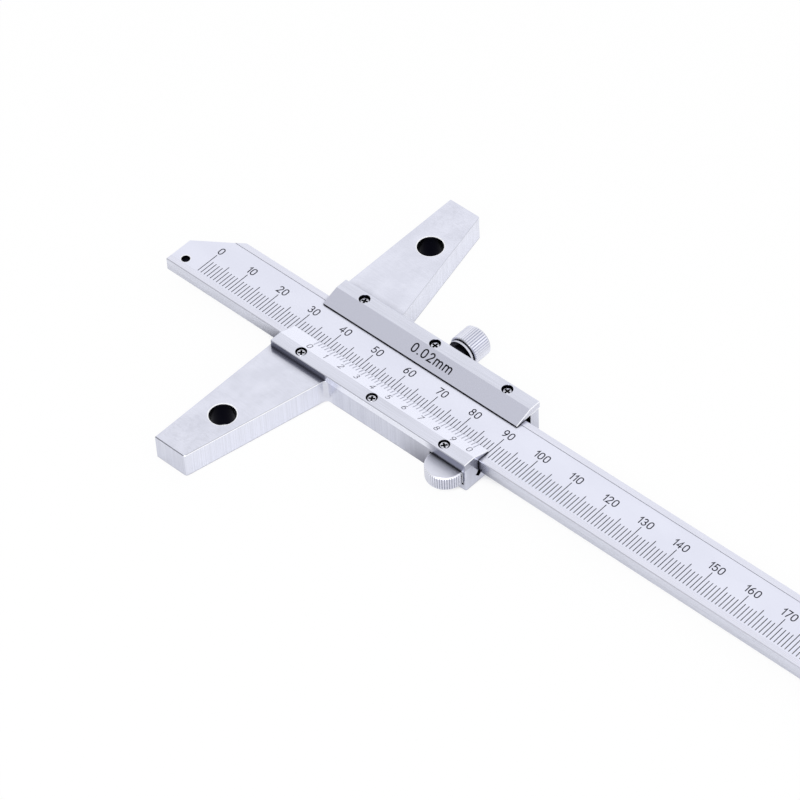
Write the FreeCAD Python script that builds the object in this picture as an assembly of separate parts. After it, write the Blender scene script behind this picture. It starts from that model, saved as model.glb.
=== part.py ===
import FreeCAD, Part
import math
import os

V = FreeCAD.Vector

# Frame of reference, in millimetres
# X = 0 is the measuring plane of the cross-head and X runs back along the beam.
# Y = 0 is the middle of the beam, and +Y is the side of the lock screw.
# Z = 0 is the flat back that the gauge lies on, and +Z comes out of the scale face.

# Cross-head and slide body, milled from one flat bar
base_span = 100.0
base_thickness = 7.0
body_length = 60.2
near_rail_width = 4.3
far_rail_width = 3.0
wing_end_depth = 9.25
wing_root_depth = 17.5
wing_root_radius = 1.2
wing_corner_radius = 0.8
rear_corner_break = 0.26
back_edge_break = 0.42
top_edge_break = 0.1
wing_hole_diameter = 6.5
wing_hole_break = 0.12
wing_hole_spacing = 70.3
wing_hole_from_face = 6.85
relief_side = 1.5
relief_drop = 0.4

# Beam
beam_width = 16.0
beam_thickness = 3.6
beam_length = 270.0
beam_reading = 38.1
beam_edge_break = 0.18
tip_width = 8.0
tip_slope_run = 11.3
tip_hole_diameter = 2.2
tip_hole_break = 0.1
tip_hole_from_end = 3.45
tip_hole_from_edge = 3.0
scale_from_near_edge = 1.55
scale_from_far_edge = 1.7
scale_sink = 0.08
slide_clearance = 0.05
spring_space = 1.7

# Vernier plate and cover plate
plate_thickness = 2.0
plate_overhang = 0.28
plate_front_setback = 0.4
plate_flat_width = 3.3
plate_edge_break = 0.15
vernier_reach = 3.4
vernier_lip = 0.25
vernier_relief = 0.08
cover_reach = 3.0
cover_lip = 0.13
cover_relief = 0.12

# Plate screws, three along each plate, each left at its own turn in degrees
screw_count = 3
screw_pitch = 22.0
vernier_row_shift = 0.3
vernier_screw_sink = 0.35
vernier_screw_turns = [40, 32, 52]
cover_row_shift = 0.0
cover_screw_sink = 0.7
cover_screw_turns = [20, -5, -8]
screw_from_wall = 1.66
screw_thread_diameter = 1.6
screw_thread_length = 1.55
screw_head_diameter = 2.2
screw_head_height = 0.9
screw_head_break = 0.15
screw_head_clearance = 0.3
screw_hole_clearance = 0.1
screw_thread_clearance = 0.02
screw_point_gap = 0.4
cross_length = 1.6
cross_width = 0.5
cross_depth = 0.5

# Lock screw through the far rail
lock_from_screw = 4.0
lock_height = 4.85
lock_thread_diameter = 3.0
lock_neck_diameter = 4.4
lock_collar_diameter = 6.9
lock_groove_diameter = 6.3
lock_head_diameter = 8.0
lock_stand_off = 0.4
lock_neck_length = 2.05
lock_collar_length = 0.55
lock_groove_length = 0.35
lock_head_length = 5.6
lock_head_break = 0.6
lock_head_inner_break = 0.25
lock_dish_diameter = 5.0
lock_dish_depth = 0.4
lock_thread_clearance = 0.03
lock_knurl_count = 40
lock_knurl_depth = 0.22

# Leaf spring between the far rail and the beam
spring_thickness = 0.35
spring_height = 3.0
spring_tab_length = 2.5
spring_half_length = 22.0
spring_end_gap = 0.05

# Thumb roller, its axle and its pocket
roller_diameter = 9.5
roller_from_rear = 5.8
roller_edge_break = 0.35
roller_knurl_count = 52
roller_knurl_depth = 0.2
roller_contact_gap = 0.02
roller_pocket_clearance = 0.3
roller_end_clearance = 0.08
roller_lower_lip = 1.85
roller_upper_lip = 1.1
axle_diameter = 2.0
axle_running_clearance = 0.04
axle_cap_thickness = 0.9
axle_press_clearance = 0.0
axle_recess = 0.15
axle_ear_wall = 1.2
axle_end_break = 0.15

# Straight knurls, and how closely an edge must match its place to be picked
knurl_crest_share = 0.5
place_tolerance = 0.01

# Places that follow from the sizes
half_span = base_span / 2
half_beam = beam_width / 2
web_thickness = base_thickness - beam_thickness - 2 * slide_clearance
beam_bottom = web_thickness + slide_clearance
beam_top = beam_bottom + beam_thickness
beam_front = -beam_reading
near_wall = -half_beam - slide_clearance
near_side = near_wall - near_rail_width
far_wall = half_beam + spring_space
far_side = far_wall + far_rail_width
plate_top = base_thickness + plate_thickness
near_screw_line = near_side + screw_from_wall
far_screw_line = far_side - screw_from_wall
vernier_screw_seat = plate_thickness - vernier_screw_sink - screw_head_height
cover_screw_seat = plate_thickness - cover_screw_sink - screw_head_height
lock_x = body_length / 2 + cover_row_shift + lock_from_screw
roller_radius = roller_diameter / 2
roller_x = body_length - roller_from_rear
roller_y = -half_beam - roller_contact_gap - roller_radius
roller_bottom = roller_lower_lip + roller_end_clearance
roller_ceiling = base_thickness - roller_upper_lip
roller_thickness = roller_ceiling - roller_end_clearance - roller_bottom


def box(x_range, y_range, z_range):
    size = (x_range[1] - x_range[0], y_range[1] - y_range[0], z_range[1] - z_range[0])
    return Part.makeBox(*size, V(x_range[0], y_range[0], z_range[0]))


def upright_cylinder(diameter, x, y, low, high):
    return Part.makeCylinder(diameter / 2, high - low, V(x, y, low), V(0, 0, 1))


def broken_hole(diameter, edge_break, x, y, low, high):
    """The cutter for an upright hole with both of its mouths broken."""
    radius = diameter / 2
    mouth = radius + edge_break
    profile = [
        (0, 0),
        (mouth, 0),
        (radius, edge_break),
        (radius, high - low - edge_break),
        (mouth, high - low),
        (0, high - low),
    ]
    return turned(profile, V(x, y, low), V(0, 0, 1))


def flat_face(points):
    return Part.Face(Part.makePolygon([V(*point) for point in points + points[:1]]))


def turned(profile, place, axis):
    """A turned piece from (radius, distance) points, on an axis through place."""
    face = flat_face([(radius, 0, distance) for radius, distance in profile])
    solid = face.revolve(V(0, 0, 0), V(0, 0, 1), 360)
    turn = FreeCAD.Rotation(V(0, 0, 1), axis)
    solid.Placement = FreeCAD.Placement(place, turn)
    return solid


def knurled_bar(diameter, depth, count, low, high):
    """A straight-knurled bar about Z, with one flat crest and one vee for each tooth."""
    pitch = 2 * math.pi / count
    points = []
    for index in range(count):
        start = index * pitch
        root = start + pitch * (1 + knurl_crest_share) / 2
        for angle, radius in (
            (start, diameter / 2),
            (start + pitch * knurl_crest_share, diameter / 2),
            (root, diameter / 2 - depth),
        ):
            points.append((radius * math.cos(angle), radius * math.sin(angle), low))
    return flat_face(points).extrude(V(0, 0, high - low))


def wing_outline():
    """The T-shaped outline of the bar: two tapered wings and the slide body behind."""
    return [
        (0, -half_span, 0),
        (wing_end_depth, -half_span, 0),
        (wing_root_depth, near_side, 0),
        (body_length, near_side, 0),
        (body_length, far_side, 0),
        (wing_root_depth, far_side, 0),
        (wing_end_depth, half_span, 0),
        (0, half_span, 0),
    ]


def edges_where(shape, test):
    return [edge for edge in shape.Edges if test(edge.BoundBox)]


def near(value, target):
    return abs(value - target) < place_tolerance


def upright_at(edge_box, x):
    return near(edge_box.XMin, x) and near(edge_box.ZLength, base_thickness)


def lies_at(edge, x):
    return near(edge.BoundBox.XMin, x) and near(edge.BoundBox.XMax, x)


def bar_blank():
    """The bar before the channel is milled, with its measuring face and rear top edge left sharp."""
    blank = flat_face(wing_outline()).extrude(V(0, 0, base_thickness))
    roots = edges_where(blank, lambda b: upright_at(b, wing_root_depth))
    blank = blank.makeFillet(wing_root_radius, roots)
    ends = edges_where(blank, lambda b: upright_at(b, wing_end_depth))
    blank = blank.makeFillet(wing_corner_radius, ends)
    rear = edges_where(blank, lambda b: upright_at(b, body_length))
    blank = blank.makeChamfer(rear_corner_break, rear)
    back = edges_where(blank, lambda b: near(b.ZMax, 0) and not near(b.XMax, 0))
    blank = blank.makeChamfer(back_edge_break, back)
    tops = edges_where(blank, lambda b: near(b.ZMin, base_thickness))
    top = [edge for edge in tops if not lies_at(edge, 0) and not lies_at(edge, body_length)]
    return blank.makeChamfer(top_edge_break, top)


def wing_hole(side):
    place_y = side * wing_hole_spacing / 2
    return broken_hole(
        wing_hole_diameter, wing_hole_break, wing_hole_from_face, place_y, 0, base_thickness
    )


def channel_cutter():
    """The channel that the beam slides in, with a slanted relief in its guide corner."""
    channel = box((0, body_length), (near_wall, far_wall), (web_thickness, base_thickness))
    relief = box((0, body_length), (-relief_side / 2, relief_side / 2), (-relief_side / 2, relief_side / 2))
    relief.rotate(V(0, 0, 0), V(1, 0, 0), 45)
    relief.translate(V(0, near_wall, web_thickness - relief_drop))
    return channel.fuse(relief)


def roller_pocket():
    """The slot milled in from the rail's side, between a thick lower lip and a thin upper one."""
    pocket_diameter = roller_diameter + 2 * roller_pocket_clearance
    return upright_cylinder(pocket_diameter, roller_x, roller_y, roller_lower_lip, roller_ceiling)


def axle_ear():
    """The rounded ear of the lower lip, which holds the roller's axle."""
    ear_diameter = axle_diameter + 2 * axle_ear_wall
    ear = upright_cylinder(ear_diameter, roller_x, roller_y, 0, roller_lower_lip)
    neck = box(
        (roller_x - ear_diameter / 2, roller_x + ear_diameter / 2),
        (roller_y, near_wall - relief_side),
        (0, roller_lower_lip),
    )
    return ear.fuse(neck)


def screw_places(row_shift):
    """How far along X each screw of one row stands."""
    middle = body_length / 2 + row_shift
    return [middle + (index - (screw_count - 1) / 2) * screw_pitch for index in range(screw_count)]


def screw_thread_holes(row_shift, line, seat):
    depth = screw_thread_length + screw_point_gap - seat
    diameter = screw_thread_diameter + 2 * screw_thread_clearance
    low = base_thickness - depth
    return [upright_cylinder(diameter, x, line, low, base_thickness) for x in screw_places(row_shift)]


def base_frame():
    cutters = [channel_cutter(), roller_pocket(), wing_hole(-1), wing_hole(1)]
    cutters += screw_thread_holes(vernier_row_shift, near_screw_line, vernier_screw_seat)
    cutters += screw_thread_holes(cover_row_shift, far_screw_line, cover_screw_seat)
    lock_hole = Part.makeCylinder(
        lock_thread_diameter / 2 + lock_thread_clearance,
        far_rail_width,
        V(lock_x, far_wall, lock_height),
        V(0, 1, 0),
    )
    cutters.append(lock_hole)
    frame = bar_blank().cut(Part.makeCompound(cutters)).fuse(axle_ear())
    axle_hole = upright_cylinder(
        axle_diameter + 2 * axle_press_clearance, roller_x, roller_y, 0, roller_lower_lip
    )
    return frame.cut(axle_hole).removeSplitter()


def beam():
    """The beam, with its tip cut back to a narrow measuring end and its scale face sunk."""
    rear = beam_front + beam_length
    outline = [
        (beam_front, -half_beam, beam_bottom),
        (rear, -half_beam, beam_bottom),
        (rear, half_beam, beam_bottom),
        (beam_front + tip_slope_run, half_beam, beam_bottom),
        (beam_front, -half_beam + tip_width, beam_bottom),
    ]
    bar = flat_face(outline).extrude(V(0, 0, beam_thickness))
    long_edges = edges_where(bar, lambda b: b.XLength > beam_length / 2)
    bar = bar.makeChamfer(beam_edge_break, long_edges)
    scale_face = box(
        (beam_front, rear),
        (-half_beam + scale_from_near_edge, half_beam - scale_from_far_edge),
        (beam_top - scale_sink, beam_top),
    )
    hole = broken_hole(
        tip_hole_diameter,
        tip_hole_break,
        beam_front + tip_hole_from_end,
        -half_beam + tip_hole_from_edge,
        beam_bottom,
        beam_top - scale_sink,
    )
    return bar.cut(Part.makeCompound([scale_face, hole]))


def plate(rail_side, rail_wall, screw_line, row_shift, screw_seat, reach, lip, relief):
    """A plate on one rail: a flat strip with screws, then a bevel down to a thin lip."""
    side = math.copysign(1, rail_side)
    front = plate_front_setback
    outer = rail_side + side * plate_overhang
    crease = outer - side * plate_flat_width
    lip_line = side * (half_beam - reach)
    underside = base_thickness + relief
    section = [
        (front, outer, base_thickness),
        (front, outer, plate_top - plate_edge_break),
        (front, outer - side * plate_edge_break, plate_top),
        (front, crease, plate_top),
        (front, lip_line, underside + lip),
        (front, lip_line, underside),
        (front, rail_wall, underside),
        (front, rail_wall, base_thickness),
    ]
    body = flat_face(section).extrude(V(body_length - front, 0, 0))
    high = plate_top - 2 * plate_edge_break
    ends = edges_where(body, lambda b: near(b.XLength, 0) and b.ZMax > high)
    body = body.makeChamfer(plate_edge_break, ends)
    head_bore = screw_head_diameter + 2 * screw_head_clearance
    thread_bore = screw_thread_diameter + 2 * screw_hole_clearance
    seat = base_thickness + screw_seat
    cutters = []
    for x in screw_places(row_shift):
        cutters.append(upright_cylinder(head_bore, x, screw_line, seat, plate_top))
        cutters.append(upright_cylinder(thread_bore, x, screw_line, base_thickness, seat))
    return body.cut(Part.makeCompound(cutters))


def plate_screw(x, y, seat, turn):
    """A small pan-headed screw with a cross in its head, standing on its seat."""
    head = screw_head_diameter / 2
    thread = screw_thread_diameter / 2
    profile = [
        (0, -screw_thread_length),
        (thread, -screw_thread_length),
        (thread, 0),
        (head, 0),
        (head, screw_head_height - screw_head_break),
        (head - screw_head_break, screw_head_height),
        (0, screw_head_height),
    ]
    place = V(x, y, seat)
    screw = turned(profile, place, V(0, 0, 1))
    low = seat + screw_head_height - cross_depth
    high = seat + screw_head_height
    for angle in (turn, turn + 90):
        arm = box((-cross_length / 2, cross_length / 2), (-cross_width / 2, cross_width / 2), (low, high))
        arm.rotate(V(0, 0, 0), V(0, 0, 1), angle)
        arm.translate(V(x, y, 0))
        screw = screw.cut(arm)
    return screw


def plate_screws(line, row_shift, screw_seat, turns):
    seat = base_thickness + screw_seat
    places = zip(screw_places(row_shift), turns)
    return Part.makeCompound([plate_screw(x, line, seat, turn) for x, turn in places])


def lock_screw():
    """The lock screw: a straight-knurled head, a collar, a neck and a threaded shank."""
    neck_end = lock_stand_off + lock_neck_length
    collar_end = neck_end + lock_collar_length
    groove_end = collar_end + lock_groove_length
    head_end = groove_end + lock_head_length
    tip = far_wall - far_side
    head = lock_head_diameter / 2
    profile = [
        (0, tip),
        (lock_thread_diameter / 2, tip),
        (lock_thread_diameter / 2, lock_stand_off),
        (lock_neck_diameter / 2, lock_stand_off),
        (lock_neck_diameter / 2, neck_end),
        (lock_collar_diameter / 2, neck_end),
        (lock_collar_diameter / 2, collar_end),
        (lock_groove_diameter / 2, collar_end),
        (lock_groove_diameter / 2, groove_end),
        (head - lock_head_inner_break, groove_end),
        (head, groove_end + lock_head_inner_break),
        (head, head_end - lock_head_break),
        (head - lock_head_break, head_end),
        (lock_dish_diameter / 2, head_end),
        (lock_dish_diameter / 2 - lock_dish_depth, head_end - lock_dish_depth),
        (0, head_end - lock_dish_depth),
    ]
    place = V(lock_x, far_side, lock_height)
    turned_screw = turned(profile, V(0, 0, 0), V(0, 0, 1))
    bar = knurled_bar(lock_head_diameter, lock_knurl_depth, lock_knurl_count, tip, head_end)
    screw = turned_screw.common(bar)
    screw.Placement = FreeCAD.Placement(place, FreeCAD.Rotation(V(0, 0, 1), V(0, 1, 0)))
    return screw


def spring_edge(offset):
    """One long edge of the bowed strip, as tangent arcs, offset from its middle line."""
    low = half_beam + spring_end_gap + spring_thickness / 2
    high = far_wall - spring_end_gap - spring_thickness / 2
    lean = 2 * math.atan((high - low) / spring_half_length)
    radius = spring_half_length / (2 * math.sin(lean))
    z = beam_bottom + (beam_thickness - spring_height) / 2

    def on_arc(centre_x, centre_y, size, angle):
        return V(centre_x + size * math.sin(angle), centre_y + size * math.cos(angle), z)

    top_centre = (lock_x, high - radius)
    arcs = []
    for side in (-1, 1):
        end_centre = (lock_x + side * spring_half_length, low + radius)
        angles = [math.pi, math.pi + side * lean / 2, math.pi + side * lean]
        arc = [on_arc(*end_centre, radius - offset, angle) for angle in angles]
        arcs.append(arc)
    crown = [on_arc(*top_centre, radius + offset, angle) for angle in (-lean, 0, lean)]
    start = arcs[0][0] - V(spring_tab_length, 0, 0)
    finish = arcs[1][0] + V(spring_tab_length, 0, 0)
    return [
        Part.makeLine(start, arcs[0][0]),
        Part.Arc(arcs[0][0], arcs[0][1], arcs[0][2]).toShape(),
        Part.Arc(crown[0], crown[1], crown[2]).toShape(),
        Part.Arc(arcs[1][2], arcs[1][1], arcs[1][0]).toShape(),
        Part.makeLine(arcs[1][0], finish),
    ], start, finish


def gib_spring():
    inner, inner_start, inner_finish = spring_edge(-spring_thickness / 2)
    outer, outer_start, outer_finish = spring_edge(spring_thickness / 2)
    ends = [Part.makeLine(inner_start, outer_start), Part.makeLine(inner_finish, outer_finish)]
    wire = Part.Wire(Part.__sortEdges__(inner + outer + ends))
    return Part.Face(wire).extrude(V(0, 0, spring_height))


def thumb_roller():
    """The straight-knurled roller, with a blind bore for its axle."""
    height = roller_thickness
    bore = axle_diameter / 2 + axle_running_clearance
    bore_depth = height - axle_cap_thickness
    profile = [
        (bore, 0),
        (roller_radius - roller_edge_break, 0),
        (roller_radius, roller_edge_break),
        (roller_radius, height - roller_edge_break),
        (roller_radius - roller_edge_break, height),
        (0, height),
        (0, bore_depth),
        (bore, bore_depth),
    ]
    body = turned(profile, V(0, 0, 0), V(0, 0, 1))
    bar = knurled_bar(roller_diameter, roller_knurl_depth, roller_knurl_count, 0, height)
    roller = body.common(bar)
    roller.translate(V(roller_x, roller_y, roller_bottom))
    return roller


def roller_axle():
    low = axle_recess
    high = roller_bottom + roller_thickness - axle_cap_thickness - roller_end_clearance
    radius = axle_diameter / 2
    profile = [
        (0, low),
        (radius - axle_end_break, low),
        (radius, low + axle_end_break),
        (radius, high - axle_end_break),
        (radius - axle_end_break, high),
        (0, high),
    ]
    return turned(profile, V(roller_x, roller_y, 0), V(0, 0, 1))


def build():
    vernier_row = (near_screw_line, vernier_row_shift, vernier_screw_seat)
    cover_row = (far_screw_line, cover_row_shift, cover_screw_seat)
    nodes = {
        "base_frame": base_frame(),
        "beam": beam(),
        "vernier_plate": plate(
            near_side, near_wall, *vernier_row, vernier_reach, vernier_lip, vernier_relief
        ),
        "cover_plate": plate(far_side, far_wall, *cover_row, cover_reach, cover_lip, cover_relief),
        "vernier_plate_screws": plate_screws(*vernier_row, vernier_screw_turns),
        "cover_plate_screws": plate_screws(*cover_row, cover_screw_turns),
        "lock_screw": lock_screw(),
        "gib_spring": gib_spring(),
        "thumb_roller": thumb_roller(),
        "roller_axle": roller_axle(),
    }
    os.makedirs("parts", exist_ok=True)
    for name, shape in nodes.items():
        shape.exportStep(f"parts/{name}.step")
        volume = round(shape.Volume, 2)
        print(name, len(shape.Solids), "solid,", volume, "cubic mm, valid:", shape.isValid())


build()
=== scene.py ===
import math

import bmesh
import bpy
from mathutils import Matrix, Vector


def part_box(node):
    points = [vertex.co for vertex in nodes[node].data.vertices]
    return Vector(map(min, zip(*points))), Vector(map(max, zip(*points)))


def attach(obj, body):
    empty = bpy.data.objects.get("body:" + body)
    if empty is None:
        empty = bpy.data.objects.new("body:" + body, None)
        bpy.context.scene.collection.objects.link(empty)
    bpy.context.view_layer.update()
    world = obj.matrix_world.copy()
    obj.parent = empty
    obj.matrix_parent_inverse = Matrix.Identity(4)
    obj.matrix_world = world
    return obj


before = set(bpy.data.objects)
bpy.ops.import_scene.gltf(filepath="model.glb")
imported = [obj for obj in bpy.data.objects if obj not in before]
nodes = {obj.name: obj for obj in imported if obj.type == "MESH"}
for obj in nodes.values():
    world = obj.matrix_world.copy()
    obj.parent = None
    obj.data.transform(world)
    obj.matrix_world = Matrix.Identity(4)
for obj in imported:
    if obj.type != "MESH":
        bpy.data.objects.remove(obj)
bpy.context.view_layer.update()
mm = 0.001
scene = bpy.context.scene
scene.view_settings.view_transform = "Standard"

# Row frame: X = 0 is the measuring plane, +X runs back along the beam, +Z comes out of the scale face.
# Lengths and places are in millimetres, unless a note says metres.

cameraLook = {
    "place": (0.43733, -0.41202, 0.62748),  # metres
    "right": (0.73833, 0.67334, -0.03853),
    "up": (-0.47652, 0.56123, 0.67672),
    "back": (0.47729, -0.48128, 0.73523),
    "lens": 167.59,
    "sensor": 36,
    "clip": (0.02, 20),  # metres
}


def addCamera():
    data = bpy.data.cameras.new("photoCamera")
    data.sensor_width = cameraLook["sensor"]
    data.lens = cameraLook["lens"]
    data.clip_start, data.clip_end = cameraLook["clip"]
    camera = bpy.data.objects.new("photoCamera", data)
    axes = Matrix([cameraLook["right"], cameraLook["up"], cameraLook["back"]]).transposed()
    camera.matrix_world = Matrix.Translation(cameraLook["place"]) @ axes.to_4x4()
    scene.collection.objects.link(camera)
    scene.camera = camera


addCamera()
print("camera placed")


# Small helpers for node trees. A link is given as the output socket that feeds the input.

def addNode(tree, kind, **settings):
    node = tree.nodes.new(kind)
    for name, value in settings.items():
        setattr(node, name, value)
    return node


def feed(tree, node, **inputs):
    # i0, i1 and so on stand for an input's number, any other word for its name
    for name, value in inputs.items():
        socket = node.inputs[int(name[1:])] if name[0] == "i" and name[1:].isdigit() else node.inputs[name]
        if isinstance(value, bpy.types.NodeSocket):
            tree.links.new(value, socket)
        else:
            socket.default_value = value
    return node


def millimetres(values):
    return [value * mm for value in values]


def opaque(color):
    # a colour from a dictionary gets its alpha, and a link stays as it is
    return (*color, 1) if isinstance(color, tuple) else color


def calc(tree, operation, first, second=0.0):
    node = addNode(tree, "ShaderNodeMath", operation=operation)
    feed(tree, node, i0=first, i1=second)
    return node.outputs[0]


def above(tree, value, limit):
    return calc(tree, "GREATER_THAN", value, limit)


def below(tree, value, limit):
    return calc(tree, "LESS_THAN", value, limit)


def allOf(tree, mask, *others):
    # the product: 1 only where every mask is 1
    for other in others:
        mask = calc(tree, "MULTIPLY", mask, other)
    return mask


def inverse(tree, mask):
    return calc(tree, "SUBTRACT", 1.0, mask)


def between(tree, value, low, high):
    return allOf(tree, above(tree, value, low * mm), below(tree, value, high * mm))


def mapRange(tree, value, fromLow, fromHigh, toLow=0.0, toHigh=1.0, smooth=True):
    node = addNode(tree, "ShaderNodeMapRange")
    node.interpolation_type = "SMOOTHSTEP" if smooth else "LINEAR"
    feed(tree, node, i0=value, i1=fromLow, i2=fromHigh, i3=toLow, i4=toHigh)
    return node.outputs[0]


def mixColors(tree, factor, first, second):
    node = addNode(tree, "ShaderNodeMix", data_type="RGBA")
    feed(tree, node, i0=factor, i6=opaque(first), i7=opaque(second))
    return node.outputs[2]


def mixValues(tree, factor, first, second):
    node = addNode(tree, "ShaderNodeMix", data_type="FLOAT")
    feed(tree, node, i0=factor, i2=first, i3=second)
    return node.outputs[0]


def dimmed(tree, color, amount):
    # the same colour, times a number
    node = addNode(tree, "ShaderNodeVectorMath", operation="SCALE")
    feed(tree, node, i0=color, Scale=amount)
    return node.outputs[0]


grains = {  # how many finer layers a noise has, and how strong they are
    "streak": (3.0, 0.6),
    "line": (2.0, 0.6),
    "cloud": (2.0, 0.5),
    "smudge": (4.0, 0.65),
    "fine": (1.0, 0.5),
}


def noise(tree, coords, size, kind):
    # size is the length of one feature along X, Y and Z
    mapping = addNode(tree, "ShaderNodeMapping")
    feed(tree, mapping, Vector=coords, Scale=[1 / (length * mm) for length in size])
    detail, roughness = grains[kind]
    node = addNode(tree, "ShaderNodeTexNoise")
    feed(tree, node, Vector=mapping.outputs[0], Scale=1.0, Detail=detail, Roughness=roughness)
    return node.outputs["Fac"]


def emptyTree(holder):
    # the cleared node tree of a material or the world
    holder.use_nodes = True
    holder.node_tree.nodes.clear()
    return holder.node_tree


def endTree(tree, kind, surface):
    tree.links.new(surface, addNode(tree, kind).inputs[0])


def newMaterial(name):
    material = bpy.data.materials.new(name)
    tree = emptyTree(material)
    shader = addNode(tree, "ShaderNodeBsdfPrincipled")
    endTree(tree, "ShaderNodeOutputMaterial", shader.outputs[0])
    return material, tree, shader


def objectPlace(tree):
    # the point on the object, its three coordinates, and the three parts of the face's normal
    coords = addNode(tree, "ShaderNodeTexCoord")
    parts = addNode(tree, "ShaderNodeSeparateXYZ")
    tree.links.new(coords.outputs["Object"], parts.inputs[0])
    facing = addNode(tree, "ShaderNodeSeparateXYZ")
    tree.links.new(coords.outputs["Normal"], facing.inputs[0])
    return coords.outputs["Object"], parts.outputs, facing.outputs


def ringDistance(tree, first, second, centre):
    # distance from an axis, from the two coordinates across it
    across = calc(tree, "SUBTRACT", first, centre[0])
    along = calc(tree, "SUBTRACT", second, centre[1])
    squares = calc(tree, "ADD", calc(tree, "MULTIPLY", across, across), calc(tree, "MULTIPLY", along, along))
    return calc(tree, "SQRT", squares)


def nearestRing(tree, place, centres):
    # how far the surface is from the nearest of several upright axes
    nearest = None
    for centre in centres:
        distance = ringDistance(tree, place[0], place[1], millimetres(centre))
        nearest = calc(tree, "MINIMUM", nearest, distance) if nearest else distance
    return nearest


cornerLook = {
    "tint": (0.035, 0.035, 0.06),
    "samples": 14,
    "narrow": {"reach": 1.4, "closed": 0.38, "open": 0.92, "floor": 0.1},
    "soft": {"reach": 3.0, "closed": 0.35, "open": 0.95, "floor": 0.1},
    "wide": {"reach": 14.0, "closed": 0.43, "open": 0.695, "floor": 0.1},
    "slot": {"reach": 1.4, "closed": 0.43, "open": 0.82, "floor": 0.0},
    "gap": {"reach": 3.0, "closed": 0.12, "open": 0.35, "floor": 0.0},
}


def openness(tree, reach):
    node = addNode(tree, "ShaderNodeAmbientOcclusion", samples=cornerLook["samples"])
    feed(tree, node, Distance=reach * mm)
    return node.outputs["AO"]


def cornerLight(tree, kind):
    # how much light gets in: low in corners and narrow gaps
    look = cornerLook[kind]
    share = openness(tree, look["reach"])
    return mapRange(tree, share, look["closed"], look["open"], look["floor"], 1.0, smooth=False)


def shadeCorners(tree, color, light, tint=cornerLook["tint"]):
    return mixColors(tree, light, tint, color)


steelRanges = {"color": (0.32, 0.68), "roughness": (0.3, 0.7)}  # of the noise, from dull to bright


def steel(tree, shader, coords, look):
    # streaks left by the wheel, soft clouds of tone, and a fine relief
    streak = noise(tree, coords, look["streak"], "streak")
    cloud = noise(tree, coords, look["cloud"], "cloud")
    share = look["streakShare"]
    tone = calc(tree, "ADD", calc(tree, "MULTIPLY", streak, share), calc(tree, "MULTIPLY", cloud, 1 - share))
    color = mixColors(tree, mapRange(tree, tone, *steelRanges["color"]), look["dull"], look["bright"])
    smoothest, roughest = look["roughness"]
    rough = mapRange(tree, tone, *steelRanges["roughness"], roughest, smoothest)
    bump = addNode(tree, "ShaderNodeBump")
    feed(tree, bump, Strength=look["relief"], Distance=look["reliefDepth"] * mm, Height=streak)
    feed(tree, shader, Metallic=1.0, Roughness=rough, Normal=bump.outputs[0], **{"Base Color": color})
    return color, rough, bump, streak


def holeMasks(tree, place, look):
    # the walls of a piece's holes, and the broken edges round them
    fromHole = nearestRing(tree, place, look["holes"])
    high = above(tree, place[2], look["holeTop"] * mm)
    wall = allOf(tree, below(tree, fromHole, look["holeRadius"] * mm), inverse(tree, high))
    ring = allOf(tree, below(tree, fromHole, look["ringRadius"] * mm), high)
    return wall, ring


ringHighlightLook = {"color": (0.88, 0.885, 0.93), "roughness": 0.6}


def addRing(tree, shader, ring, color, rough):
    # painted highlight: the broken edge round a hole is painted pale and matte over the finished steel
    feed(tree, shader, **{
        "Base Color": mixColors(tree, ring, color, ringHighlightLook["color"]),
        "Roughness": mixValues(tree, ring, rough, ringHighlightLook["roughness"]),
        "Metallic": inverse(tree, ring),
    })


# Frame: ground wings and rails, faint lines down the narrow faces, and dark bores and channel.
# A turn is the part of a face's normal along one axis, where one kind of face begins.

frameLook = {
    "bright": (0.815, 0.83, 0.94),
    "dull": (0.735, 0.75, 0.855),
    "streak": (7.0, 0.28, 0.28),
    "cloud": (4.5, 6.0, 4.5),
    "streakShare": 0.35,
    "roughness": (0.20, 0.27),
    "relief": 0.12,
    "reliefDepth": 0.01,
    "levelTurns": (0.5, 0.9),
    # painted shade and light: the side faces get a darker colour than the tops, and the wings' rear faces a
    # brighter one
    "side": (0.68, 0.695, 0.785),
    "sideLine": (0.625, 0.64, 0.73),
    "sideStreak": (0.24, 0.24, 30.0),
    "sideRange": (0.42, 0.58),
    "wingRear": (0.82, 0.835, 0.935),
    "bodyRear": (0.69, 0.705, 0.80),
    "bodyRearFrom": 59.0,
    "rearLine": 0.92,
    "rearTurns": (0.3, 0.8),
    "aboveFloor": (0.6, 2.4),  # corners are shaded fully above this
    "holes": ((6.85, -35.15), (6.85, 35.15)),
    "holeRadius": 3.27,
    "holeTop": 6.88,
    "ringRadius": 3.5,
    # painted shade: the bore walls are near black, a little lighter toward the top where light gets in
    "holeShade": (0.005, 0.005, 0.012),
    "holeLitWall": (0.09, 0.09, 0.11),
    "litWallFrom": 6.35,
}
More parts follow.
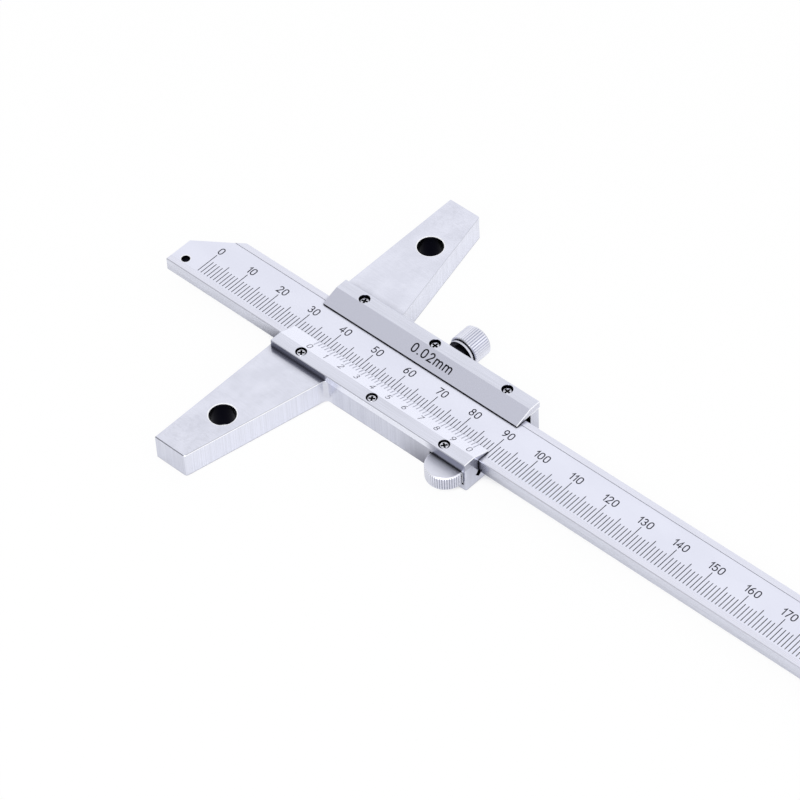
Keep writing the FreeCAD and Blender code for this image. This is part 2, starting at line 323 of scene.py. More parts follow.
frameMarks = {
    "mottle": {
        "size": (1.3, 1.1, 1.3),
        "range": (0.50, 0.40),
        "depth": 0.045,
        "from": 34.0,
        "to": 43.0,
        "least": 0.3,
    },
    "wingEdge": {
        "reach": 20.32,
        "slope": 0.2215,
        "from": 13.6,
        "widths": (0.15, 0.3),
        "dark": (0.54, 0.55, 0.62),
    },
    "endLine": {"to": -49.79, "dark": (0.16, 0.165, 0.20)},
    # painted contact shadow: a dark line along the foot of the side faces
    "footShadow": {"to": 0.6, "dark": (0.50, 0.51, 0.58)},
    # painted highlight on the near wing's rear top edge
    "edgeHighlight": {
        "side": -13.6,
        "from": 6.8,
        "rearTurn": 0.5,
        "levelTurn": 0.95,
        "color": (0.95, 0.955, 1.0),
    },
    # painted reflection: the inner fillets get a less blue tone, to temper the bluish double reflection
    # there
    "filletReflection": {
        "centres": ((17.5, -12.6), (17.5, 12.9)),
        "radii": (2.4, 1.2),
        "color": (0.75, 0.76, 0.83),
    },
    "rollerShade": {
        "from": 37.0,
        "to": 49.6,
        "end": 52.0,
        "face": -12.2,
        "sideTurn": -0.9,
        "top": 7.0,
        "strength": (0.95, 0.4),  # at the foot and at the top
        "dark": (0.20, 0.20, 0.24),
    },
    # painted shade inside the roller's slot
    "pocket": {
        "centre": (54.4, -12.77),
        "radius": 5.08,
        "heights": (1.8, 5.93),
        "dark": (0.010, 0.010, 0.018),
    },
    # painted shade: the channel walls beside the beam are painted near black
    "channel": {
        "sides": (-9.4, 9.74),
        "heights": (2.2, 6.99),
        "acrossTurn": 0.5,
        "mouthSides": (-8.3, -7.9),  # the narrow gap beside the beam, seen at the rear
        "dark": (0.03, 0.03, 0.036),
    },
}


def topMarks(tree, coords, place, color):
    # smudges toward the ends of the wings, and the thin dark line along their edges
    mottle, edge, end = frameMarks["mottle"], frameMarks["wingEdge"], frameMarks["endLine"]
    outward = calc(tree, "ABSOLUTE", place[1])
    smudge = mapRange(tree, noise(tree, coords, mottle["size"], "smudge"), *mottle["range"])
    share = mapRange(tree, outward, mottle["from"] * mm, mottle["to"] * mm, mottle["least"], 1.0)
    color = dimmed(tree, color, inverse(tree, allOf(tree, smudge, share, mottle["depth"])))
    slanted = calc(tree, "ADD", place[0], calc(tree, "MULTIPLY", outward, edge["slope"]))
    width = mixValues(tree, below(tree, place[1], 0.0), *millimetres(edge["widths"]))
    byEdge = above(tree, calc(tree, "ADD", slanted, width), edge["reach"] * mm)
    byEdge = allOf(tree, byEdge, above(tree, outward, edge["from"] * mm))
    color = mixColors(tree, byEdge, color, edge["dark"])
    return mixColors(tree, below(tree, place[1], end["to"] * mm), color, end["dark"])


def sideMarks(tree, sideLines, place, facing, atRear):
    # upright lines on the narrow faces; the sides darker and the rear faces brighter, as painted shade and
    # painted light over the real lines; and a painted contact shadow along the foot
    look, foot = frameLook, frameMarks["footShadow"]
    tone = mapRange(tree, sideLines, *look["sideRange"])
    rear = mixColors(tree, atRear, look["wingRear"], look["bodyRear"])
    rear = dimmed(tree, rear, mixValues(tree, tone, look["rearLine"], 1.0))
    color = mixColors(tree, tone, look["sideLine"], look["side"])
    color = mixColors(tree, mapRange(tree, facing[0], *look["rearTurns"]), color, rear)
    return mixColors(tree, below(tree, place[2], foot["to"] * mm), color, foot["dark"])


def addBrightEdge(tree, place, facing, color):
    # painted highlight: the broken edge at the top of the near wing's rear side is painted nearly white
    edge = frameMarks["edgeHighlight"]
    line = allOf(tree, below(tree, place[1], edge["side"] * mm), above(tree, place[2], edge["from"] * mm),
                 above(tree, facing[0], edge["rearTurn"]), below(tree, facing[2], edge["levelTurn"]))
    return mixColors(tree, line, color, edge["color"])


def addInnerCorners(tree, place, level, color):
    # painted reflection tone in the fillets where the wings meet the rails
    corners = frameMarks["filletReflection"]
    near = mapRange(tree, nearestRing(tree, place, corners["centres"]), *millimetres(corners["radii"]))
    return mixColors(tree, allOf(tree, near, inverse(tree, level)), color, corners["color"])


def addRollerShade(tree, place, facing, color):
    # the near rail's side grows darker toward the thumb roller
    shade = frameMarks["rollerShade"]
    near = allOf(tree, mapRange(tree, place[0], shade["from"] * mm, shade["to"] * mm),
                 mapRange(tree, place[2], 0.0, shade["top"] * mm, *shade["strength"]),
                 below(tree, place[1], shade["face"] * mm), below(tree, facing[1], shade["sideTurn"]),
                 below(tree, place[0], shade["end"] * mm))
    return mixColors(tree, near, color, shade["dark"])


def addPocket(tree, place, color):
    # painted shade: the inside of the roller's slot is painted near black
    pocket = frameMarks["pocket"]
    inside = below(tree, nearestRing(tree, place, [pocket["centre"]]), pocket["radius"] * mm)
    inside = allOf(tree, inside, between(tree, place[2], *pocket["heights"]))
    return mixColors(tree, inside, color, pocket["dark"])


def addChannel(tree, place, facing, atRear, color):
    # painted shade: the walls beside the beam, and the narrow gap beside it at the rear, are painted near
    # black
    channel = frameMarks["channel"]
    inHeight = between(tree, place[2], *channel["heights"])
    along = below(tree, calc(tree, "ABSOLUTE", facing[0]), channel["acrossTurn"])
    walls = allOf(tree, between(tree, place[1], *channel["sides"]), along, inHeight)
    mouth = allOf(tree, between(tree, place[1], *channel["mouthSides"]), atRear, inHeight)
    return mixColors(tree, calc(tree, "MAXIMUM", walls, mouth), color, channel["dark"])


def frameSteel():
    look = frameLook
    material, tree, shader = newMaterial("frameSteel")
    coords, place, facing = objectPlace(tree)
    color, rough, bump, streak = steel(tree, shader, coords, look)
    level = mapRange(tree, calc(tree, "ABSOLUTE", facing[2]), *look["levelTurns"])
    atRear = above(tree, place[0], look["bodyRearFrom"] * mm)
    sideLines = noise(tree, coords, look["sideStreak"], "line")
    feed(tree, bump, Height=mixValues(tree, level, sideLines, streak))
    sideColor = sideMarks(tree, sideLines, place, facing, atRear)
    color = mixColors(tree, level, sideColor, topMarks(tree, coords, place, color))
    color = addBrightEdge(tree, place, facing, color)
    color = addInnerCorners(tree, place, level, color)
    color = addRollerShade(tree, place, facing, color)
    color = addPocket(tree, place, color)
    color = addChannel(tree, place, facing, atRear, color)
    light = mixValues(tree, level, cornerLight(tree, "narrow"), cornerLight(tree, "soft"))
    raised = mapRange(tree, place[2], *millimetres(look["aboveFloor"]))
    color = shadeCorners(tree, color, mixValues(tree, raised, 1.0, light))
    # painted shade on the bore walls, lighter near their top
    wall, ring = holeMasks(tree, place, look)
    litUpperWall = mapRange(tree, place[2], look["litWallFrom"] * mm, look["holeTop"] * mm)
    color = mixColors(tree, wall, color, mixColors(tree, litUpperWall, look["holeShade"], look["holeLitWall"]))
    addRing(tree, shader, ring, color, rough)
    return material


# Beam: a satin scale face sunk between two brushed strips.

beamLook = {
    "bright": (0.82, 0.83, 0.94),
    "dull": (0.77, 0.78, 0.885),
    "streak": (12.0, 0.25, 0.25),
    "cloud": (18.0, 6.0, 6.0),
    "streakShare": 0.6,
    "roughness": (0.22, 0.30),
    "relief": 0.08,
    "reliefDepth": 0.01,
    "levelTurns": (0.3, 0.6),
    "underTurn": -0.5,
    # painted shade: the side faces are a little darker than the strips on top
    "side": (0.74, 0.755, 0.845),
    "sideLine": (0.66, 0.675, 0.76),
    "sideRange": (0.35, 0.65),
    "sideTurn": 0.5,
    "scaleHeight": 6.90,
    "scaleTurn": 0.9,
    "satinBright": (0.85, 0.865, 0.985),
    "satinDull": (0.815, 0.83, 0.95),
    "satinCloud": (20.0, 8.0, 8.0),
    "satinGrain": (0.12, 0.12, 0.12),
    "satinRange": (0.3, 0.7),
    "satinRoughness": (0.30, 0.36),
    "holes": ((-34.65, -5.0),),
    "holeRadius": 1.12,
    "holeTop": 6.77,
    "ringRadius": 1.28,
    # painted shade: the hole's wall is painted near black
    "holeShade": (0.005, 0.005, 0.012),
}


def beamSteel():
    look = beamLook
    material, tree, shader = newMaterial("beamSteel")
    coords, place, facing = objectPlace(tree)
    color, rough, bump, streak = steel(tree, shader, coords, look)
    level = mapRange(tree, calc(tree, "ABSOLUTE", facing[2]), *look["levelTurns"])
    sideColor = mixColors(tree, mapRange(tree, streak, *look["sideRange"]), look["sideLine"], look["side"])
    color = mixColors(tree, level, sideColor, color)
    onScale = below(tree, place[2], look["scaleHeight"] * mm)
    onScale = allOf(tree, onScale, above(tree, facing[2], look["scaleTurn"]))
    grain = noise(tree, coords, look["satinGrain"], "fine")
    satinTone = mapRange(tree, noise(tree, coords, look["satinCloud"], "cloud"), *look["satinRange"])
    satinColor = mixColors(tree, satinTone, look["satinDull"], look["satinBright"])
    satinRough = mapRange(tree, grain, *look["satinRange"], *look["satinRoughness"])
    feed(tree, bump, Height=mixValues(tree, onScale, streak, grain))
    color = mixColors(tree, onScale, color, satinColor)
    onSide = above(tree, calc(tree, "ABSOLUTE", facing[1]), look["sideTurn"])
    light = mixValues(tree, onSide, cornerLight(tree, "narrow"), cornerLight(tree, "wide"))
    light = calc(tree, "MAXIMUM", light, below(tree, facing[2], look["underTurn"]))
    wall, ring = holeMasks(tree, place, look)
    color = mixColors(tree, wall, shadeCorners(tree, color, light), look["holeShade"])
    addRing(tree, shader, ring, color, mixValues(tree, onScale, rough, satinRough))
    return material


# Plates: flats brushed along their length, satin bevels, painted highlights on broken edges, and painted
# shade in the counterbores, under the plates and over the wing and roller.

plateLook = {
    "bright": (0.78, 0.795, 0.905),
    "dull": (0.69, 0.705, 0.80),
    "streak": (14.0, 0.2, 0.2),
    "cloud": (20.0, 3.0, 3.0),
    "streakShare": 0.7,
    "roughness": (0.20, 0.27),
    "relief": 0.2,
    "reliefDepth": 0.01,
    "tiltedTurn": 0.2,
    "bevelTurn": 0.8,
    "satinRoughness": 0.24,
    "uprightTurn": 0.3,
    "shadeOverRollerFrom": (47.8, 51.5),
    "rearTurn": 0.9,
    "edgeTurn": 0.3,
    # painted highlight colour for the plates' broken edges
    "edge": (0.95, 0.955, 1.0),
    "edgeRoughness": 0.5,
    "underTurn": -0.5,
    # painted shade: the plate's underside, and the upright face of the cover plate's lip, are painted near
    # black
    "underShade": (0.03, 0.03, 0.036),
    "lip": (0.006, 0.006, 0.01),
    "holeRadius": 1.42,
    "holeTop": 8.93,
    "holeShade": (0.012, 0.012, 0.018),
}
plates = {
    "vernier_plate": {
        "bevel": (0.87, 0.885, 1.0),
        "side": (0.86, 0.875, 0.96),
        # painted shade on the side over the roller's slot and over the wing
        "shadeOverRoller": (0.34, 0.35, 0.43),
        "shadeOverWing": (0.30, 0.31, 0.39),
        "wingTo": 17.6,
        "rear": (0.56, 0.57, 0.65),
        "rearFoot": 0.0,  # none
        "lipShadowTo": -20.0,  # none
        "screws": ((8.4, -10.69), (30.4, -10.69), (52.4, -10.69)),
    },
    "cover_plate": {
        "bevel": (0.80, 0.815, 0.95),
        "side": (0.72, 0.73, 0.82),
        "shadeOverRoller": (0.72, 0.73, 0.82),
        "shadeOverWing": (0.72, 0.73, 0.82),
        "wingTo": 0.0,
        "rear": (0.69, 0.70, 0.79),
        "rearFoot": 7.3,
        "lipShadowTo": 5.06,
        "screws": ((8.1, 11.04), (30.1, 11.04), (52.1, 11.04)),
    },
}


def plateSteel(name, plate):
    look = plateLook
    material, tree, shader = newMaterial(name)
    coords, place, facing = objectPlace(tree)
    color, rough, bump = steel(tree, shader, coords, look)[:3]
    tilted = above(tree, calc(tree, "ABSOLUTE", facing[1]), look["tiltedTurn"])
    bevel = allOf(tree, tilted, above(tree, facing[2], look["bevelTurn"]))
    color = mixColors(tree, bevel, color, plate["bevel"])
    rough = mixValues(tree, bevel, rough, look["satinRoughness"])
    feed(tree, bump, Strength=mixValues(tree, bevel, look["relief"], 0.0))
    upright = below(tree, facing[2], look["uprightTurn"])
    # painted shade: the plate's side is darker where it stands over the roller's slot and over the wing
    shadeOverRoller = mapRange(tree, place[0], *millimetres(look["shadeOverRollerFrom"]))
    sideColor = mixColors(tree, shadeOverRoller, plate["side"], plate["shadeOverRoller"])
    sideColor = mixColors(tree, below(tree, place[0], plate["wingTo"] * mm), sideColor, plate["shadeOverWing"])
    color = mixColors(tree, allOf(tree, tilted, upright), color, sideColor)
    rear = above(tree, facing[0], look["rearTurn"])
    color = mixColors(tree, rear, color, plate["rear"])
    # painted highlight: the slanted broken edges and the cover plate's rear foot are painted pale and rough
    slanted = allOf(tree, above(tree, facing[0], look["edgeTurn"]), below(tree, facing[0], look["rearTurn"]),
                    above(tree, facing[2], look["edgeTurn"]))
    rearFoot = allOf(tree, rear, below(tree, place[2], plate["rearFoot"] * mm))
    plateEdgeHighlight = calc(tree, "MAXIMUM", slanted, rearFoot)
    color = mixColors(tree, plateEdgeHighlight, color, look["edge"])
    feed(tree, shader, Roughness=mixValues(tree, plateEdgeHighlight, rough, look["edgeRoughness"]))
    # painted shade under the plate, and on the lip's upright face for the shadow gap below it
    color = mixColors(tree, below(tree, facing[2], look["underTurn"]), color, look["underShade"])
    lip = allOf(tree, below(tree, place[1], plate["lipShadowTo"] * mm), upright)
    color = mixColors(tree, lip, color, look["lip"])
    # painted shade: the counterbore walls are painted near black
    hole = below(tree, nearestRing(tree, place, plate["screws"]), look["holeRadius"] * mm)
    hole = allOf(tree, hole, below(tree, place[2], look["holeTop"] * mm))
    color = mixColors(tree, hole, color, look["holeShade"])
    feed(tree, shader, **{"Base Color": shadeCorners(tree, color, cornerLight(tree, "narrow"))})
    return material


# Plate screws: bright heads, with painted shade in the cross and on the sides.

screwLook = {
    "bright": (0.80, 0.81, 0.90),
    "dull": (0.55, 0.56, 0.62),
    "streak": (0.3, 0.3, 0.3),
    "cloud": (1.0, 1.0, 1.0),
    "streakShare": 0.5,
    "roughness": (0.22, 0.34),
    "relief": 0.2,
    "reliefDepth": 0.01,
    "uprightTurn": 0.3,
    "shadeBelow": 0.25,  # under the head's top
    "cross": (0.015, 0.015, 0.02),
}
screwTops = {"vernier_plate_screws": 8.65, "cover_plate_screws": 8.30}


def screwSteel(name, top):
    look = screwLook
    material, tree, shader = newMaterial(name)
    coords, place, facing = objectPlace(tree)
    color = steel(tree, shader, coords, look)[0]
    # painted shade in the cross recess and on the sides inside the counterbore
    side = below(tree, calc(tree, "ABSOLUTE", facing[2]), look["uprightTurn"])
    recessShade = below(tree, place[2], (top - look["shadeBelow"]) * mm)
    color = mixColors(tree, calc(tree, "MAXIMUM", side, recessShade), color, look["cross"])
    feed(tree, shader, **{"Base Color": color})
    return material


# Knurled pieces: bright crests, painted shade in the grooves, and a painted highlight on the chamfered rim.

knurlLook = {
    "bright": (0.73, 0.74, 0.825),
    "dull": (0.70, 0.71, 0.79),
    "streak": (2.5, 2.5, 2.5),
    "cloud": (5.0, 5.0, 5.0),
    "streakShare": 0.3,
    "roughness": (0.2, 0.28),
    "relief": 0.05,
    "reliefDepth": 0.008,
    "grooveShade": (0.58, 0.59, 0.66),
    "endRoughness": 0.45,
    # painted highlight colour for the chamfered rim
    "edge": (0.92, 0.93, 1.0),
    "edgeRoughness": 0.5,
    "edgeTurns": (0.3, 0.95),
    "shade": (0.02, 0.02, 0.028),
}
knurls = {
    "lock_screw": {
        "across": (0, 2),  # the axis runs along Y
        "centre": (34.1, 4.85),
        "radius": 4.0,
        "depth": 0.22,
        "knurlFrom": 3.6,
        "sideTone": 1.07,
        "endTone": 1.0,
        "edgeFrom": 50.0,  # none
        "endCorners": "narrow",
        "sideCorners": None,
        "cornerTint": cornerLook["tint"],
        "dark": ((9.0, 15.17), (15.73, 16.02)),  # along Y, the neck and the groove
    },
    "thumb_roller": {
        "across": (0, 1),  # the axis stands upright
        "centre": (54.4, -12.77),
        "radius": 4.75,
        "depth": 0.2,
        "knurlFrom": 4.42,
        "sideTone": 1.0,
        "endTone": 1.13,
        "edgeFrom": 5.0,
        "endCorners": "slot",
        "sideCorners": "gap",
        "cornerTint": (0.006, 0.006, 0.012),
        "dark": (),
    },
}


def knurledSteel(name, knurl):
    look = knurlLook
    material, tree, shader = newMaterial(name)
    coords, place, facing = objectPlace(tree)
    color, rough = steel(tree, shader, coords, look)[:2]
    first, second = knurl["across"]
    distance = ringDistance(tree, place[first], place[second], millimetres(knurl["centre"]))
    outside = above(tree, distance, knurl["knurlFrom"] * mm)
    turnedEnd = below(tree, distance, knurl["knurlFrom"] * mm)
    crest, root = millimetres((knurl["radius"], knurl["radius"] - knurl["depth"]))
    # painted shade: the knurl's grooves are darker toward their roots
    grooveShade = allOf(tree, mapRange(tree, distance, root, crest, 1.0, 0.0), outside)
    color = mixColors(tree, grooveShade, color, look["grooveShade"])
    color = dimmed(tree, color, mixValues(tree, turnedEnd, knurl["sideTone"], knurl["endTone"]))
    rough = mixValues(tree, turnedEnd, rough, look["endRoughness"])
    # painted highlight: the chamfer round the knurled rim is painted pale and rough
    lowTurn, highTurn = look["edgeTurns"]
    edge = allOf(tree, above(tree, facing[2], lowTurn), below(tree, facing[2], highTurn), outside,
                 above(tree, place[2], knurl["edgeFrom"] * mm))
    color = mixColors(tree, edge, color, look["edge"])
    feed(tree, shader, Roughness=mixValues(tree, edge, rough, look["edgeRoughness"]))
    sideLight = cornerLight(tree, knurl["sideCorners"]) if knurl["sideCorners"] else 1.0
    light = mixValues(tree, turnedEnd, sideLight, cornerLight(tree, knurl["endCorners"]))
    color = shadeCorners(tree, color, light, knurl["cornerTint"])
    for low, high in knurl["dark"]:
        color = mixColors(tree, between(tree, place[1], low, high), color, look["shade"])
    feed(tree, shader, **{"Base Color": color})
    return material


springLook = {
    "bright": (0.62, 0.63, 0.70),
    "dull": (0.48, 0.49, 0.55),
    "streak": (8.0, 0.3, 0.3),
    "cloud": (6.0, 6.0, 6.0),
    "streakShare": 0.5,
    "roughness": (0.28, 0.4),
    "relief": 0.2,
    "reliefDepth": 0.01,
}


def springSteel():
    material, tree, shader = newMaterial("springSteel")
    steel(tree, shader, objectPlace(tree)[0], springLook)
    return material


def dress(node, material):
    data = nodes[node].data
    data.materials.clear()
    data.materials.append(material)


dress("base_frame", frameSteel())
dress("beam", beamSteel())
for plateName, plate in plates.items():
    dress(plateName, plateSteel(plateName + "Steel", plate))
for screwName, top in screwTops.items():
    dress(screwName, screwSteel(screwName + "Steel", top))
for knurlName, knurl in knurls.items():
    dress(knurlName, knurledSteel(knurlName + "Steel", knurl))
innerSteel = springSteel()
dress("gib_spring", innerSteel)
dress("roller_axle", innerSteel)
print("finishes on the metal")


# Marks: dark filled lines and figures, as thin solid strokes let into the surface.

def arc(centreX, centreY, radiusX, radiusY, start, end, steps=10):
    points = []
    for index in range(steps + 1):
        angle = math.radians(start + (end - start) * index / steps)
        points.append((centreX + radiusX * math.cos(angle), centreY + radiusY * math.sin(angle)))
    return points


sixWidth = 0.54
sixStrokes = [
    arc(0.27, 0.30, 0.25, 0.30, 180, 540, 20),
    arc(0.53, 0.30, 0.51, 0.71, 104, 180, 8),
]
nineStrokes = [[(sixWidth - x, 1 - y) for x, y in stroke] for stroke in sixStrokes]  # the six turned round
figures = {  # width and strokes of each figure, one unit high
    "0": (0.54, [
        arc(0.27, 0.68, 0.27, 0.32, 0, 180) + arc(0.27, 0.32, 0.27, 0.32, 180, 360) + [(0.54, 0.68)],
    ]),
    "1": (0.22, [[(0.0, 0.76), (0.22, 1.0), (0.22, 0.0)]]),
    "2": (0.52, [arc(0.26, 0.73, 0.25, 0.27, 165, -30) + [(0.01, 0.0), (0.53, 0.0)]]),
    "3": (0.50, [arc(0.24, 0.76, 0.21, 0.24, 155, -90) + arc(0.24, 0.26, 0.26, 0.26, 90, -155)]),
    "4": (0.56, [[(0.41, 0.0), (0.41, 1.0), (0.0, 0.27), (0.56, 0.27)]]),
    "5": (0.52, [[(0.47, 1.0), (0.09, 1.0), (0.04, 0.53)] + arc(0.25, 0.32, 0.27, 0.31, 125, -150)]),
    "6": (sixWidth, sixStrokes),
    "7": (0.50, [[(0.0, 1.0), (0.50, 1.0), (0.17, 0.0)]]),
    "8": (0.52, [arc(0.26, 0.76, 0.21, 0.24, -90, 270, 18), arc(0.26, 0.26, 0.26, 0.26, 90, 450, 18)]),
    "9": (sixWidth, nineStrokes),
    ".": (0.06, [[(0.0, 0.03), (0.06, 0.03)]]),
    "m": (0.91, [
        [(0.0, 0.0), (0.0, 0.70)],
        [(0.0, 0.45)] + arc(0.2275, 0.46, 0.2275, 0.24, 180, 0) + [(0.455, 0.0)],
        [(0.455, 0.45)] + arc(0.6825, 0.46, 0.2275, 0.24, 180, 0) + [(0.91, 0.0)],
    ]),
}


def label(text, middle, foot, look):
    # the strokes of a short text, centred on middle and standing on foot
    stroke = look["figureStroke"]
    rise = look["figureHeight"] - stroke
    space = stroke + look["figureGap"]
    strokes, left = [], 0.0
    for letter in text:
        width, parts = figures[letter]
        for part in parts:
            strokes.append([(left + x * rise, y * rise) for x, y in part])
        left += width * rise + space
    start = middle - (left - space) / 2
    return [([(start + x, foot + stroke / 2 + y) for x, y in part], stroke) for part in strokes]


ribbonLook = {
    "same": 1e-6,  # metres; points that are closer are one point
    "sharpest": 0.45,  # keeps sharp corners from growing long
    "capAngles": (30, 60, 84),  # degrees, round each open end
}


def sections(points, stroke):
    # cross-sections of a rounded ribbon: centre, unit normal, half width
    path = [Vector(point) for point in points]
    path = [point for index, point in enumerate(path)
            if index == 0 or (point - path[index - 1]).length > ribbonLook["same"]]
    half = stroke / 2
    closed = (path[0] - path[-1]).length < ribbonLook["same"]
    result = []
    for index, point in enumerate(path):
        before = (point - path[index - 1]).normalized() if index else None
        after = (path[index + 1] - point).normalized() if index < len(path) - 1 else None
        if closed and before is None:
            before = (path[-1] - path[-2]).normalized()
        if closed and after is None:
            after = (path[1] - path[0]).normalized()
        before, after = before or after, after or before
        along = (before + after).normalized()
        stretch = 1 / max(ribbonLook["sharpest"], along.dot(before))
        result.append((point, Vector((-along.y, along.x)), half * stretch))
    if closed:
        return result
    caps = []
    for end, inner, normal in ((path[0], path[1], result[0][1]), (path[-1], path[-2], result[-1][1])):
        outward = (end - inner).normalized()
        angles = [math.radians(angle) for angle in ribbonLook["capAngles"]]
        caps.append([(end + outward * half * math.sin(a), normal, half * math.cos(a)) for a in angles])
    return caps[0][::-1] + result + caps[1]


def ribbon(mesh, points, stroke, plane, high, low):
    # a closed flat bar along the points, in a plane given by its corner and three unit vectors
    corner, across, up, out = plane
    rings = []
    for point, normal, half in sections(points, stroke):
        ring = []
        for side, level in ((1, high), (-1, high), (-1, low), (1, low)):
            flat = point + normal * half * side
            ring.append(mesh.verts.new(corner + across * flat.x + up * flat.y + out * level))
        rings.append(ring)
    for first, second in zip(rings, rings[1:]):
        for index in range(4):
            after = (index + 1) % 4
            mesh.faces.new((first[index], first[after], second[after], second[index]))
    mesh.faces.new(rings[0][::-1])
    mesh.faces.new(rings[-1])


markLook = {"rise": 0.012, "sink": 0.02}


def markPiece(name, body, strokes, plane, material):
    mesh = bmesh.new()
    high, low = millimetres((markLook["rise"], -markLook["sink"]))
    for points, stroke in strokes:
        ribbon(mesh, [millimetres(point) for point in points], stroke * mm, plane, high, low)
    bmesh.ops.recalc_face_normals(mesh, faces=mesh.faces[:])
    data = bpy.data.meshes.new(name)
    mesh.to_mesh(data)
    mesh.free()
    data.materials.append(material)
    piece = bpy.data.objects.new(name, data)
    scene.collection.objects.link(piece)
    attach(piece, body)


paintLook = {
    "grain": (0.15, 0.15, 0.15),
    "range": (0.3, 0.7),
    "roughness": (0.5, 0.65),
    "relief": 0.4,
    "reliefDepth": 0.01,
    "specular": 0.15,
}


def markPaint(name, look):
    material, tree, shader = newMaterial(name)
    fill = noise(tree, objectPlace(tree)[0], paintLook["grain"], "line")
    bump = addNode(tree, "ShaderNodeBump")
    feed(tree, bump, Strength=paintLook["relief"], Distance=paintLook["reliefDepth"] * mm, Height=fill)
    feed(tree, shader, **{
        "Base Color": mixColors(tree, mapRange(tree, fill, *paintLook["range"]), look["dark"], look["worn"]),
        "Roughness": mapRange(tree, fill, *paintLook["range"], *paintLook["roughness"]),
        "Normal": bump.outputs[0],
        "Specular IOR Level": paintLook["specular"],
    })
    return material


beamScaleLook = {
    "zero": -29.7,
    "last": 250,
    "foot": -6.0,
    "tops": {"one": -1.67, "five": -0.47, "ten": 0.55},
    "line": 0.19,
    "height": 6.87,
    "figureFoot": 1.02,
    "figureHeight": 2.2,
    "figureStroke": 0.27,
    "figureGap": 0.30,
    "dark": (0.004, 0.004, 0.012),
    "worn": (0.012, 0.012, 0.024),
}


def beamScale():
    look = beamScaleLook
    paint = markPaint("scaleBlack", look)
    plane = (Vector((0, 0, look["height"] * mm)), Vector((1, 0, 0)), Vector((0, 1, 0)), Vector((0, 0, 1)))
    lines, labels = [], []
    half = look["line"] / 2
    for reading in range(look["last"] + 1):
        x = look["zero"] + reading
        size = "ten" if reading % 10 == 0 else "five" if reading % 5 == 0 else "one"
        lines.append(([(x, look["foot"] + half), (x, look["tops"][size] - half)], look["line"]))
        if size == "ten":
            labels += label(str(reading), x, look["figureFoot"], look)
    markPiece("beamGraduations", "beam", lines, plane, paint)
    markPiece("beamFigures", "beam", labels, plane, paint)


beamScale()
print("beam scale cut")


def slopePlane(lip, crease, upTowardsLip):
    # the plane of a plate's bevel, with its corner on the lip line at X = 0
    lip, crease = Vector((0, *lip)), Vector((0, *crease))
    up = (lip - crease if upTowardsLip else crease - lip).normalized()
    across = Vector((1, 0, 0))
    return (lip, across, up, across.cross(up))


vernierLook = {
    "zero": 8.4,
    "pitch": 0.98,
    "divisions": 50,
    "numberEvery": 5,
    "shortLine": 1.7,
    "longLine": 2.1,
    "lipGap": 0.02,
    "line": 0.28,
    "figureMiddle": -3.4,
    "figureHeight": 1.9,
    "figureStroke": 0.2,
    "figureGap": 0.3,
    "lipTop": 7.33,
    "flatWidth": 3.3,
    "dark": (0.40, 0.41, 0.49),
    "worn": (0.48, 0.49, 0.58),
}
vernierFigureLook = {"dark": (0.13, 0.13, 0.16), "worn": (0.18, 0.18, 0.22)}


def vernierScale():
    look = vernierLook
    low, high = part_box("vernier_plate")
    plane = slopePlane((high.y, look["lipTop"] * mm), (low.y + look["flatWidth"] * mm, high.z), True)
    linePaint = markPaint("vernierGrey", look)
    figurePaint = markPaint("vernierBlack", vernierFigureLook)
    lines, labels = [], []
    half = look["line"] / 2
    foot = look["figureMiddle"] - look["figureHeight"] / 2
    for division in range(look["divisions"] + 1):
        x = look["zero"] + look["pitch"] * division
        number, rest = divmod(division, look["numberEvery"])
        length = look["shortLine"] if rest else look["longLine"]
        lines.append(([(x, half - length), (x, -half - look["lipGap"])], look["line"]))
        if not rest:
            labels += label(str(number)[-1], x, foot, look)
    markPiece("vernierGraduations", "head", lines, plane, linePaint)
    markPiece("vernierFigures", "head", labels, plane, figurePaint)


resolutionLook = {
    "text": "0.02mm",
    "middle": 32.26,
    "foot": 1.57,
    "figureHeight": 2.55,
    "figureStroke": 0.36,
    "figureGap": 0.47,
    "lipTop": 7.25,
    "flatWidth": 3.3,
    "dark": (0.003, 0.003, 0.006),
    "worn": (0.008, 0.008, 0.014),
}


def resolutionMark():
    look = resolutionLook
    low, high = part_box("cover_plate")
    plane = slopePlane((low.y, look["lipTop"] * mm), (high.y - look["flatWidth"] * mm, high.z), False)
    strokes = label(look["text"], look["middle"], look["foot"], look)
    markPiece("resolutionMark", "head", strokes, plane, markPaint("resolutionBlack", look))


vernierScale()
resolutionMark()
print("vernier and resolution marked")


# Studio: a pale floor that reads white, soft lamps, and a pale surround with one grey flag.

studioLook = {
    "floorHalf": 4.0,  # metres
    "floorDrop": 0.02,
    "floorColor": (0.90, 0.90, 0.90),
    "whiteSeen": 0.95,
    "whiteMirrored": 0.3,
    "shutIn": {"reach": 10.0, "closed": 0.13, "open": 0.22},  # the floor down a deep hole stays dark
}
lampLooks = {  # places and sizes in metres
    "keyLamp": {"place": (0.32, -0.60, 0.72), "size": (0.5, 0.5), "radiance": 4.0},
    "sideCard": {"place": (0.75, 0.42, 0.5), "size": (0.5, 0.5), "radiance": 0.2},
}


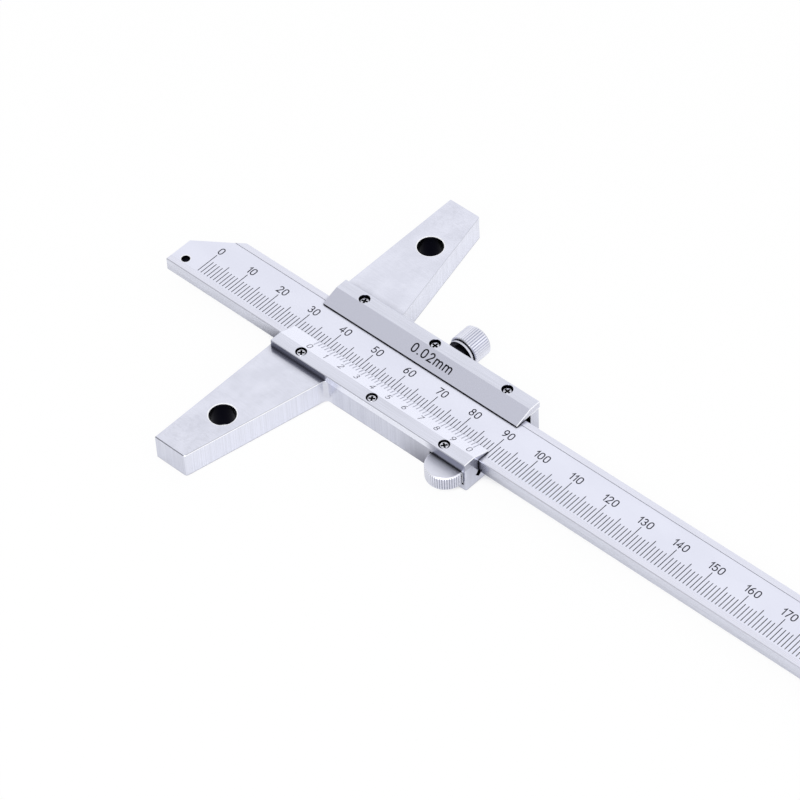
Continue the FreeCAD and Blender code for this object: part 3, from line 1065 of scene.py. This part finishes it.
def floorWhite():
    look, shutIn = studioLook, studioLook["shutIn"]
    material = bpy.data.materials.new("floorWhite")
    tree = emptyTree(material)
    diffuse = addNode(tree, "ShaderNodeBsdfDiffuse")
    feed(tree, diffuse, Color=opaque(look["floorColor"]))
    glow = addNode(tree, "ShaderNodeEmission")
    feed(tree, glow, Strength=1.0)
    rays = addNode(tree, "ShaderNodeLightPath")
    lit = mapRange(tree, openness(tree, shutIn["reach"]), shutIn["closed"], shutIn["open"])
    seen = allOf(tree, rays.outputs["Is Camera Ray"], look["whiteSeen"], lit)
    mirrored = calc(tree, "MAXIMUM", rays.outputs["Is Glossy Ray"], rays.outputs["Is Transmission Ray"])
    mirrored = calc(tree, "MULTIPLY", mirrored, look["whiteMirrored"])
    mix = addNode(tree, "ShaderNodeMixShader")
    feed(tree, mix, i0=calc(tree, "MAXIMUM", seen, mirrored), i1=diffuse.outputs[0], i2=glow.outputs[0])
    endTree(tree, "ShaderNodeOutputMaterial", mix.outputs[0])
    return material


def addFloor():
    half = studioLook["floorHalf"]
    data = bpy.data.meshes.new("studioFloor")
    corners = [(-half, -half, 0), (half, -half, 0), (half, half, 0), (-half, half, 0)]
    data.from_pydata(corners, [], [(0, 1, 2, 3)])
    data.materials.append(floorWhite())
    floor = bpy.data.objects.new("studioFloor", data)
    floor.location.z = -studioLook["floorDrop"] * mm
    scene.collection.objects.link(floor)


def softLamp(name, look):
    width, height = look["size"]
    data = bpy.data.lights.new(name, "AREA")
    data.shape = "RECTANGLE"
    data.size, data.size_y = width, height
    data.energy = look["radiance"] * math.pi * width * height
    lamp = bpy.data.objects.new(name, data)
    place = Vector(look["place"])
    lamp.location = place
    lamp.rotation_mode = "QUATERNION"
    lamp.rotation_quaternion = (-place).to_track_quat("-Z", "Y")
    scene.collection.objects.link(lamp)


surroundLook = {
    "flag": (-0.55, -0.49, 0.68),  # the direction that the grey flag hangs in
    "stops": (  # where each tone stands, from the far side to the middle of the flag
        (0.60, 1.0), (0.763, 0.96), (0.90, 0.80), (0.95, 0.67),
        (0.97, 0.55), (0.9755, 0.48), (0.983, 0.45), (1.0, 0.45),
    ),
}


def surround():
    look = surroundLook
    world = bpy.data.worlds.new("studioSurround")
    scene.world = world
    tree = emptyTree(world)
    coords = addNode(tree, "ShaderNodeTexCoord")
    closeness = addNode(tree, "ShaderNodeVectorMath", operation="DOT_PRODUCT")
    feed(tree, closeness, i0=coords.outputs["Generated"], i1=Vector(look["flag"]).normalized())
    ramp = addNode(tree, "ShaderNodeValToRGB")
    stops = ramp.color_ramp.elements
    for index, (position, tone) in enumerate(look["stops"]):
        stop = stops[index] if index < 2 else stops.new(position)  # a new ramp has two stops
        stop.position = position
        stop.color = (tone, tone, tone, 1)
    tree.links.new(mapRange(tree, closeness.outputs["Value"], -1, 1, smooth=False), ramp.inputs[0])
    background = addNode(tree, "ShaderNodeBackground")
    feed(tree, background, Color=ramp.outputs[0], Strength=1.0)
    endTree(tree, "ShaderNodeOutputWorld", background.outputs[0])


addFloor()
for lampName, lampLook in lampLooks.items():
    softLamp(lampName, lampLook)
surround()
print("studio lit")
